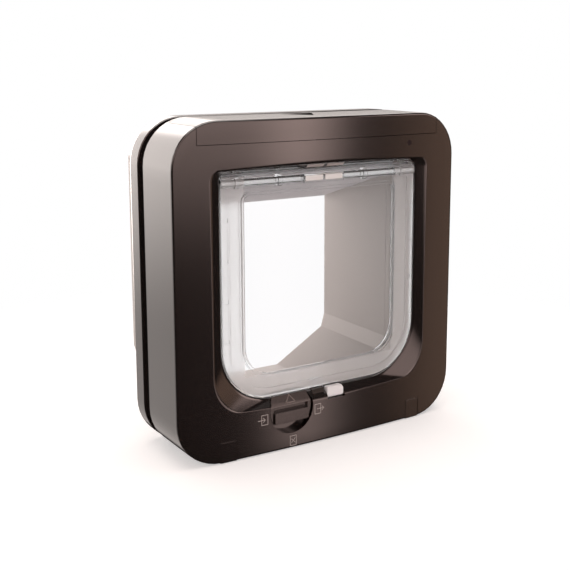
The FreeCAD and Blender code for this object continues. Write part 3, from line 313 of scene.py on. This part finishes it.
def dress(obj, slot_name, body, *nodes, edge_angle=35.0, bevel=0.0):
    """Gives an object its finish, rounding and shading, its body, and the nodes it replaces."""
    obj.data.materials.clear()
    obj.data.materials.append(FINISHES[slot_name])
    if bevel:
        rounding = obj.modifiers.new("rounding", "BEVEL")
        rounding.width = bevel * MM
        rounding.segments = 3
        rounding.limit_method = "ANGLE"
        rounding.angle_limit = math.radians(edge_angle)
        rounding.use_clamp_overlap = True
    for face in obj.data.polygons:
        face.use_smooth = True
    obj.data.set_sharp_from_angle(angle=math.radians(SHARP_BEVELLED if bevel else edge_angle))
    shading = obj.modifiers.new("shading", "WEIGHTED_NORMAL")
    shading.keep_sharp = True
    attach(obj, body)
    if nodes:
        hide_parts(*nodes)
    print(obj.name, len(obj.data.polygons), "faces")
    return obj


print("depth 0 stands at", round(DEPTH_SHIFT, 2), "mm in the frame")


# %% Cutting
def settle(obj):
    """Applies an object's modifiers."""
    bpy.context.view_layer.update()
    seen = obj.evaluated_get(bpy.context.evaluated_depsgraph_get())
    mesh = bpy.data.meshes.new_from_object(seen)
    obj.modifiers.clear()
    obj.data = mesh


def carve(obj, cutters, operation="DIFFERENCE"):
    """Cuts each bmesh, drawn in millimetres, out of an object."""
    for bm in cutters:
        bmesh.ops.recalc_face_normals(bm, faces=bm.faces)
        cutter = object_from("cutter", bm)
        carving = obj.modifiers.new("carving", "BOOLEAN")
        carving.operation = operation
        carving.solver = "EXACT"
        carving.object = cutter
        settle(obj)
        bpy.data.objects.remove(cutter)
    bm = bmesh.new()
    bm.from_mesh(obj.data)
    open_edges = sum(not edge.is_manifold for edge in bm.edges)
    print("cut", obj.name, "open edges", open_edges, "volume", round(bm.calc_volume() / MM ** 3), "mm3")
    bm.free()


print("cutting helpers ready")


# %% Simple solids to cut with
def cylinder(x, z, radius, front, back, segments=96):
    """A round bar along the depth."""
    bm = bmesh.new()
    place = Matrix.Translation((x, (front + back) / 2, z)) @ Matrix.Rotation(math.radians(90), 4, "X")
    bmesh.ops.create_cone(bm, cap_ends=True, segments=segments, radius1=radius, radius2=radius,
                          depth=back - front, matrix=place)
    return bm


def block(left, right, front, back, low, high):
    """A box between six planes."""
    bm = bmesh.new()
    middle = ((left + right) / 2, (front + back) / 2, (low + high) / 2)
    size = Matrix.Diagonal((right - left, back - front, high - low, 1))
    bmesh.ops.create_cube(bm, size=1.0, matrix=Matrix.Translation(middle) @ size)
    return bm


def prism(points, start, end, axis="Y"):
    """A flat outline of a few points, extruded along an axis."""
    bm = bmesh.new()
    order = {"Y": lambda a, b, t: (a, t, b), "X": lambda a, b, t: (t, a, b), "Z": lambda a, b, t: (a, b, t)}[axis]
    face = bm.faces.new([bm.verts.new(order(a, b, start)) for a, b in points])
    made = bmesh.ops.extrude_face_region(bm, geom=[face])["geom"]
    move = Vector(order(0, 0, end)) - Vector(order(0, 0, start))
    bmesh.ops.translate(bm, vec=move, verts=[v for v in made if isinstance(v, bmesh.types.BMVert)])
    bmesh.ops.recalc_face_normals(bm, faces=bm.faces)
    return bm


print("solids to cut with ready")

# %% [markdown]
# ## The indoor casing
# The face is crowned from side to side by 4 mm, and its edges are eased all round. Its sloping reveal
# runs from a wide mouth to the flap's opening. The mouth could be drawn as a flat outline, but then its
# edge would leave the crown. So the rulings of the slope are followed out to the crown, and the mouth's
# edge rises towards its middle by itself, as it does on the real moulding.

# %% The face and its opening
HALF = WIDTH / MM / 2
TALL = HEIGHT / MM
CORNER = 29.0
CASE_BACK = 40.0
WALL = 2.5
BACK_EASE = 0.5
RIM = 1.5
CROWN_RADIUS = (HALF ** 2 + CROWN ** 2) / (2 * CROWN)
APERTURE = ((-73.5, 73.5, 34.5, 177.5), (35.0, 3.0))
MOUTH = ((-85.5, 85.5, 29.0, 182.0), (16.0, 8.0))
THROAT_DEPTH = 1.5
SKIN_BACK = 1.5
COLLAR_BACK = 8.0
LIP = 1.3
THROAT_EASE = 0.8
print("the face is part of a cylinder of radius", round(CROWN_RADIUS), "mm")


# %% Rings of the casing
def crown_at(x):
    """The depth of the crowned face."""
    return CROWN_RADIUS - CROWN - math.sqrt(CROWN_RADIUS ** 2 - x ** 2)


def square(inset, depth, crowned=0.0):
    """The rounded square of the frames, moved inwards, with a share of the crown."""
    sides = (inset - HALF, HALF - inset, inset, TALL - inset)
    points = points_of(sides, (CORNER - inset, CORNER - inset), depth)
    return [p + Vector((0, crowned * crown_at(p.x), 0)) for p in points]


def quarter(radius, steps=5):
    """Pairs of inset and depth that turn from a side to a face."""
    turns = [math.radians(90) * step / (steps - 1) for step in range(steps)]
    return [(radius * (1 - math.cos(turn)), radius * (1 - math.sin(turn))) for turn in turns]


def between(near, far, share):
    """A ring part of the way from one ring to another."""
    return [a.lerp(b, share) for a, b in zip(near, far)]


def eased(before, corner, after, steps=4):
    """Rings that round off a corner, as a curve from before to after."""
    rings = []
    for step in range(steps + 1):
        share = step / steps
        rings.append(between(between(before, corner, share), between(corner, after, share), share))
    return rings


print("crown at the middle", round(crown_at(0.0), 2), "mm, at the sides", round(crown_at(HALF), 2), "mm")


# %% The crowned skin
def crowned_body(wall):
    """The whole moulding: side, rim, face, mouth, reveal and collar, and back along the inside."""
    rings = [square(BACK_EASE, CASE_BACK), square(0.0, CASE_BACK - BACK_EASE)]
    rings += [square(inset, depth, 1.0) for inset, depth in quarter(RIM)]
    throat = points_of(*APERTURE, THROAT_DEPTH)
    mouth = points_of(*MOUTH, -CROWN)
    edge, outer, inner = [], [], []
    for far, near in zip(throat, mouth):
        share = 0.5
        for _ in range(8):  # closes in on the place where the slope meets the crown
            share = (crown_at(near.lerp(far, share).x) - near.y) / (far.y - near.y)
        meet = near.lerp(far, share)
        along = (far - near).normalized()
        flat = Vector((-along.x, 0, -along.z)).normalized() * LIP
        edge.append(meet)
        outer.append(Vector((meet.x + flat.x, crown_at(meet.x + flat.x), meet.z + flat.z)))
        inner.append(meet + along * LIP)
    face = [between(rings[-1], outer, share) for share in (0.25, 0.5, 0.75)]
    rings += [[Vector((p.x, crown_at(p.x), p.z)) for p in ring] for ring in face]
    rings += eased(outer, edge, inner)
    before = [a.lerp(b, 0.2) for a, b in zip(throat, inner)]
    after = [p + Vector((0, THROAT_EASE, 0)) for p in throat]
    rings += eased(before, throat, after)
    rings.append([Vector((p.x, COLLAR_BACK, p.z)) for p in throat])
    (left, right, low, high), (foot, head) = APERTURE
    collar = ((left - wall, right + wall, low - wall, high + wall), (foot + wall, head + wall))
    rings += [points_of(*collar, COLLAR_BACK), points_of(*collar, SKIN_BACK)]
    rings += [square(wall, SKIN_BACK), square(wall, CASE_BACK)]
    bm = bmesh.new()
    stack(bm, rings, closed=True)
    bmesh.ops.recalc_face_normals(bm, faces=bm.faces)
    return bm


print("the skin runs from depth", -CROWN, "to", CASE_BACK, "mm")

# %% Places of the cut-outs
AHEAD = -6.0
KNOB_X, KNOB_Z, KNOB_R = -26.65, 26.05, 15.2
KNOB_GAP, WELL_BACK, STEM_R = 0.7, 1.3, 3.1
COVER_HALF, COVER_LOW, COVER_BACK = 89.0, 196.0, 36.8
SEAM = 0.25
LID_EASE = 0.1
LATCH_NOTCH = (0.7, 14.0, AHEAD, 3.0, 27.4, 35.5)
LATCH_GUIDE = (2.6, 10.85, 1.0, 6.2, 31.0, 35.5)
MAGNET_POCKET = (-9.5, -0.1, -1.3, 3.0, 31.0, 35.5)
LAMP_X, LAMP_Z, LAMP_R = 65.5, 190.7, 1.8
SCREW_COVER_X, SCREW_COVER_HALF, SCREW_COVER_TOP = 71.6, 5.9, 13.5
SENSOR_LEFTS, SENSOR_WIDTH = (-13.75, 1.15), 12.6
SENSOR_SIDE = [(-2.45, 179.5), (-0.05, 177.6), (-0.05, 180.5), (-2.45, 182.4)]
print("knob hole", 2 * (KNOB_R + KNOB_GAP), "mm across, battery opening", 2 * (COVER_HALF + SEAM), "mm wide")

# %% The indoor casing with its cut-outs
case = object_from("indoor_case", crowned_body(WALL))
cutters = [
    block(-COVER_HALF - SEAM, COVER_HALF + SEAM, AHEAD, COVER_BACK + SEAM, COVER_LOW - SEAM, TALL + 1),
    cylinder(KNOB_X, KNOB_Z, KNOB_R + KNOB_GAP, AHEAD, WELL_BACK),
    cylinder(KNOB_X, KNOB_Z, STEM_R, 0.0, 3.0, segments=32),
    block(*LATCH_NOTCH),
    block(*LATCH_GUIDE),
    cylinder(LAMP_X, LAMP_Z, LAMP_R, AHEAD, 3.0, segments=32),
    block(*MAGNET_POCKET),
]
for middle in (-SCREW_COVER_X, SCREW_COVER_X):
    cutters.append(block(middle - SCREW_COVER_HALF, middle + SCREW_COVER_HALF, AHEAD, 0.2, -1.0, SCREW_COVER_TOP))
for left in SENSOR_LEFTS:
    cutters.append(prism(SENSOR_SIDE, left, left + SENSOR_WIDTH, axis="X"))
carve(case, cutters)
dress(case, "brown_case", "casing", "indoor_front_shell", edge_angle=30)

# %% The battery cover, from the same moulding
ARROW = [(-12.5, 34.3), (12.5, 34.3), (0, 12.0)]
ARROW_DEPTH = 1.2
cover = object_from("battery_lid", crowned_body(WALL))
lid_space = block(LID_EASE - COVER_HALF, COVER_HALF - LID_EASE, AHEAD, COVER_BACK - LID_EASE,
                  COVER_LOW + LID_EASE, TALL + 1)
carve(cover, [lid_space], operation="INTERSECT")
carve(cover, [prism(ARROW, TALL - ARROW_DEPTH, TALL + 1, axis="Z")])
dress(cover, "brown_case", "battery_cover", "battery_cover", edge_angle=30)

# %% [markdown]
# ## The outdoor casing
# The rear moulding is a shallow block with a softer rear edge, open where the tunnel passes through. The
# opening is cut with the tunnel's own outline, so the two can't drift apart.

# %% The outdoor casing
OUTDOOR_FRONT, OUTDOOR_BACK = 47.7, 60.9
FRONT_EASE = 0.6
REAR_ROUND = 2.4
TUNNEL_GAP = 0.5
TUNNEL_MIDDLE = 100
TUNNEL = [(81.5, 180.0), (81.5, 46.65), (78.15, 34.85), (36.2, 9.75)]


def tunnel_points(gap):
    """The tunnel's outline, grown by a gap."""
    right = [(x + gap, z + (gap if z > TUNNEL_MIDDLE else -gap)) for x, z in TUNNEL]
    return right + [(-x, z) for x, z in reversed(right)]


rings = [square(FRONT_EASE, OUTDOOR_FRONT), square(0.0, OUTDOOR_FRONT + FRONT_EASE)]
rings += [square(inset, OUTDOOR_BACK - depth) for inset, depth in quarter(REAR_ROUND)]
bm = bmesh.new()
made = stack(bm, rings)
for ring in (made[0], made[-1]):
    bmesh.ops.contextual_create(bm, geom=loop_of(ring))
bmesh.ops.recalc_face_normals(bm, faces=bm.faces)
rear = object_from("outdoor_case", bm)
carve(rear, [prism(tunnel_points(TUNNEL_GAP), OUTDOOR_FRONT - 1, OUTDOOR_BACK + 1)])
dress(rear, "brown_case", "casing", "outdoor_frame", edge_angle=30)

# %% [markdown]
# ## Eased copies
# The flap, the tunnel, its liner and the small mouldings already have their exact shape in the packed
# model. Modelling them again would gain nothing, so each is a merged copy whose edges get a small bevel.


# %% Copies with eased edges
def eased_copy(node_name, name, body, width, edge_angle=30):
    """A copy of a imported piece, merged and freed of flat seams, with its edges rounded."""
    bm = bmesh.new()
    bm.from_mesh(frame["nodes"][node_name].data)
    bmesh.ops.remove_doubles(bm, verts=bm.verts, dist=0.00001)
    bmesh.ops.dissolve_limit(bm, angle_limit=math.radians(1.0), verts=bm.verts, edges=bm.edges)
    obj = object_from(name, bm, in_millimetres=False)
    return dress(obj, SLOT_OF[node_name], body, node_name, edge_angle=edge_angle, bevel=width)


eased_copy("flap", "flap_moulding", "flap", 0.25)
eased_copy("tunnel", "tunnel_wall", "casing", 0.5, edge_angle=12)
eased_copy("passage_liner", "liner_wall", "casing", 0.4, edge_angle=12)
eased_copy("lock_knob", "knob", "lock", 0.35)
eased_copy("inward_latch", "latch_piece", "latch", 0.5)
for side in ("left", "right"):
    eased_copy("screw_cover_" + side, "screw_cap_" + side, "casing", 0.3)

# %% [markdown]
# ## Printed signs
# Small pale signs stand round the knob, one for each way that the flap can be locked, and a triangle on
# the knob points to the chosen one. A picture wrapped on the face could carry them, but it would blur near
# by. So each is a set of thin strokes that follow the surface they lie on.

# %% The strokes
PRINT = 0.03
SIGN_STROKE = 0.45
TRIANGLE_STROKE = 0.5


def strokes(lines, width):
    """Thin flat bars along lines between two points, drawn in the front view round the origin."""
    bm = bmesh.new()
    for (x0, z0), (x1, z1) in lines:
        length = math.hypot(x1 - x0, z1 - z0) + width
        turn = Matrix.Rotation(-math.atan2(z1 - z0, x1 - x0), 4, "Y")
        place = Matrix.Translation(((x0 + x1) / 2, 0, (z0 + z1) / 2)) @ turn
        bmesh.ops.create_cube(bm, size=1.0, matrix=place @ Matrix.Diagonal((length, 2 * PRINT, width, 1)))
    return bm


def looped(points):
    """The lines that join points in a closed loop."""
    return list(zip(points, points[1:] + points[:1]))


print("strokes stand", PRINT, "mm proud")

# %% The signs on the face
DOOR = looped([(-2.2, -3.2), (2.2, -3.2), (2.2, 3.2), (-2.2, 3.2)])
INWARD = [((-4.6, 0), (0.4, 0)), ((0.4, 0), (-1.0, 1.3)), ((0.4, 0), (-1.0, -1.3))]
OUTWARD = [((-0.4, 0), (4.6, 0)), ((4.6, 0), (3.2, 1.3)), ((4.6, 0), (3.2, -1.3))]
SHUT = [((-1.2, -1.2), (1.2, 1.2)), ((-1.2, 1.2), (1.2, -1.2))]
SIGNS = {
    "sign_inward": (-46.4, 22.5, DOOR + INWARD),
    "sign_outward": (-7.2, 22.4, DOOR + OUTWARD),
    "sign_shut": (-25.8, 4.9, DOOR + SHUT),
}
for name, (x, z, lines) in SIGNS.items():
    bm = strokes(lines, SIGN_STROKE)
    bmesh.ops.translate(bm, vec=(x, 0, z), verts=bm.verts)
    for vert in bm.verts:
        vert.co.y += crown_at(vert.co.x)
    sign = dress(object_from(name, bm), "white_plastic", "casing")
    sign.data.materials[0] = PRINTED

# %% The triangle on the knob's sloping facet
TRIANGLE = looped([(-3.4, -2.3), (3.4, -2.3), (0, 2.6)])
FACET_FRONT, FACET_BACK, FACET_LOW, FACET_HIGH = -2.4, 0.6, 3.2, 9.0
lean = math.atan2(FACET_BACK - FACET_FRONT, FACET_HIGH - FACET_LOW)
middle = (KNOB_X, (FACET_FRONT + FACET_BACK) / 2, KNOB_Z + (FACET_LOW + FACET_HIGH) / 2)
bm = strokes(TRIANGLE, TRIANGLE_STROKE)
bmesh.ops.transform(bm, matrix=Matrix.Translation(middle) @ Matrix.Rotation(-lean, 4, "X"), verts=bm.verts)
triangle = dress(object_from("knob_triangle", bm), "white_plastic", "lock")
triangle.data.materials[0] = FAINT

# %% [markdown]
# ## Camera
# The photograph looks at the indoor face from its left, about 33 degrees round and a little from above,
# through a lens of about 62 mm. Its upright edges stay nearly parallel, as with a lens that is shifted
# down. A full shift would push the object out of the frame when the same camera goes round it, so most of
# the view comes from the camera's dip, and a small shift straightens the edges part of the way.

# %% The camera
CAMERA_PLACE = Vector((-343.0, -569.8, 247.0)) * MM
CAMERA_TURN = math.radians(32.77)
CAMERA_DIP = math.radians(9.89)
CAMERA_LENS = 62.5
CAMERA_SHIFT = (-0.038, -0.10)
camera_data = bpy.data.cameras.new("camera")
camera_data.lens = CAMERA_LENS
camera_data.sensor_width = 36.0
camera_data.shift_x, camera_data.shift_y = CAMERA_SHIFT
camera = bpy.data.objects.new("camera", camera_data)
bpy.context.scene.collection.objects.link(camera)
camera.location = CAMERA_PLACE
camera.rotation_euler = (math.radians(90) - CAMERA_DIP, 0.0, -CAMERA_TURN)
bpy.context.scene.camera = camera
bpy.context.scene.view_settings.view_transform = "Standard"
print("camera stands", round(CAMERA_PLACE.length, 3), "m from the origin")

# %% [markdown]
# ## Light
# The studio has large white panels behind the flap, the brightest of them straight behind, where it shines
# into the tunnel. In front on its right stands a narrow upright panel, whose image makes the soft bright
# band on the crowned face, and a small one lights the reveal's lower left corner. The rest of the room is
# dim, so the brown stays deep. Area lamps could be the panels, but their hard borders would show in the
# glossy brown. So the panels are patches of the world's own light, soft at their borders, and the camera
# and the clear flap see plain white.

# %% The world
world = bpy.data.worlds.new("studio")
bpy.context.scene.world = world
world.use_nodes = True
nodes, links = world.node_tree.nodes, world.node_tree.links
nodes.clear()


def soft_step(value, low, high):
    """0 below low, 1 above high, and smooth between."""
    node = nodes.new("ShaderNodeMapRange")
    node.interpolation_type = "SMOOTHSTEP"
    node.inputs["From Min"].default_value = low
    node.inputs["From Max"].default_value = high
    links.new(value, node.inputs["Value"])
    return node.outputs["Result"]


place = nodes.new("ShaderNodeTexCoord")
axes = nodes.new("ShaderNodeSeparateXYZ")
links.new(place.outputs["Generated"], axes.inputs[0])
heading = math_node("ARCTAN2", axes.outputs["X"], axes.outputs["Y"])
rise = math_node("ARCSINE", axes.outputs["Z"])
print("the world reads its heading and its rise from the direction")

# %% Soft panels
SOFT = 6.0


def panel(turn, half_width, low, high, strength, soft=SOFT):
    """A soft-edged patch of light: heading from +Y, half width, lower and upper edge, and softness, in degrees."""
    turn, half_width, low, high, soft = (math.radians(angle) for angle in (turn, half_width, low, high, soft))
    apart = math_node("WRAP", math_node("SUBTRACT", heading, turn), math.pi, -math.pi)
    across = soft_step(math_node("ABSOLUTE", apart), half_width + soft, half_width - soft)
    over = soft_step(rise, low - soft, low + soft)
    under = soft_step(rise, high + soft, high - soft)
    return math_node("MULTIPLY", math_node("MULTIPLY", across, over), math_node("MULTIPLY", under, strength))


PANELS = {
    "rear": ((1.0, 0.915, 0.87), 0.02, {
        "back_left": (-40.0, 50.0, -9.0, 32.0, 1.3, 7.0),
        "low_left": (-40.0, 50.0, -45.0, 32.0, 0.53),
        "back_middle": (0.0, 13.0, -12.0, 10.0, 6.0, 4.0),
        "low_right": (32.0, 20.0, -14.0, 0.0, 1.5, 4.0),
        "back_right": (36.0, 40.0, 6.0, 32.0, 2.0),
        "above": (0.0, 180.0, 60.0, 95.0, 1.9),
    }),
    "front": ((1.0, 0.74, 0.68), 0.008, {
        "front_right": (166.0, 20.0, -7.5, 30.0, 0.78, 5.0),
        "front_band": (149.0, 3.0, -24.0, 5.0, 1.1, 4.0),
        "front_left": (-135.0, 30.0, 5.0, 60.0, 0.6),
        "low_corner": (130.0, 6.0, 4.0, 34.0, 1.6, 3.5),
    }),
    "side": ((1.0, 0.62, 0.45), 0.0, {
        "front_side": (128.0, 8.0, -24.0, 5.0, 0.33, 6.0),
    }),
}
print(sum(len(group) for _, _, group in PANELS.values()), "soft panels")

# %% The studio's light, and white behind it
studio = None
for colour, dim, group in PANELS.values():
    total = dim
    for settings in group.values():
        total = math_node("ADD", panel(*settings), total)
    light = nodes.new("ShaderNodeBackground")
    light.inputs["Color"].default_value = (*colour, 1.0)
    links.new(total, light.inputs["Strength"])
    if studio is not None:
        both = nodes.new("ShaderNodeAddShader")
        links.new(studio.outputs[0], both.inputs[0])
        links.new(light.outputs[0], both.inputs[1])
        light = both
    studio = light
white = nodes.new("ShaderNodeBackground")
white.inputs["Color"].default_value = (1.0, 1.0, 1.0, 1.0)
path = nodes.new("ShaderNodeLightPath")
sees_white = math_node("MAXIMUM", path.outputs["Is Camera Ray"], path.outputs["Is Transmission Ray"])
mix = nodes.new("ShaderNodeMixShader")
links.new(sees_white, mix.inputs[0])
links.new(studio.outputs[0], mix.inputs[1])
links.new(white.outputs[0], mix.inputs[2])
output = nodes.new("ShaderNodeOutputWorld")
links.new(mix.outputs[0], output.inputs["Surface"])
print("world has", len(nodes), "nodes")

# %% [markdown]
# ## Floor
# A pale floor takes the soft shadow and throws light back up. A floor that catches shadows only could do
# the first but not the second. To the eye it fades into the white background, as in the photograph, and
# it leaves reflections to the studio.

# %% The floor
FLOOR_HALF = 3.0
FLOOR_DROP = 0.3 * MM
FLOOR_GLOW = 0.42
FADE_START, FADE_END = 0.15, 0.42
bm = bmesh.new()
bmesh.ops.create_grid(bm, x_segments=1, y_segments=1, size=FLOOR_HALF)
floor = object_from("floor", bm, in_millimetres=False)
floor.location.z = -FLOOR_DROP
print("floor", 2 * FLOOR_HALF, "m across")

# %% The floor's finish
floor_material = bpy.data.materials.new("floor_white")
floor_material.use_nodes = True
nodes, links = floor_material.node_tree.nodes, floor_material.node_tree.links
shader = nodes["Principled BSDF"]
shader.inputs["Base Color"].default_value = (0.95, 0.95, 0.95, 1.0)
shader.inputs["Emission Color"].default_value = (1.0, 1.0, 1.0, 1.0)
shader.inputs["Emission Strength"].default_value = FLOOR_GLOW
shader.inputs["Roughness"].default_value = 0.9
shader.inputs["Specular IOR Level"].default_value = 0.0
clear_floor = nodes.new("ShaderNodeBsdfTransparent")
path = nodes.new("ShaderNodeLightPath")
mix = nodes.new("ShaderNodeMixShader")
place = nodes.new("ShaderNodeTexCoord")
reach = nodes.new("ShaderNodeVectorMath")
reach.operation = "LENGTH"
links.new(place.outputs["Object"], reach.inputs[0])
fade = nodes.new("ShaderNodeMapRange")
fade.interpolation_type = "SMOOTHSTEP"
fade.inputs["From Min"].default_value = FADE_START
fade.inputs["From Max"].default_value = FADE_END
links.new(reach.outputs["Value"], fade.inputs["Value"])
sees_white = math_node("MAXIMUM", path.outputs["Is Camera Ray"], path.outputs["Is Transmission Ray"])
faded = math_node("MULTIPLY", fade.outputs["Result"], sees_white)
links.new(math_node("MAXIMUM", path.outputs["Is Glossy Ray"], faded), mix.inputs[0])
links.new(shader.outputs[0], mix.inputs[1])
links.new(clear_floor.outputs[0], mix.inputs[2])
links.new(mix.outputs[0], nodes["Material Output"].inputs["Surface"])
floor.data.materials.append(floor_material)
print("the floor fades from", FADE_START, "to", FADE_END, "m")
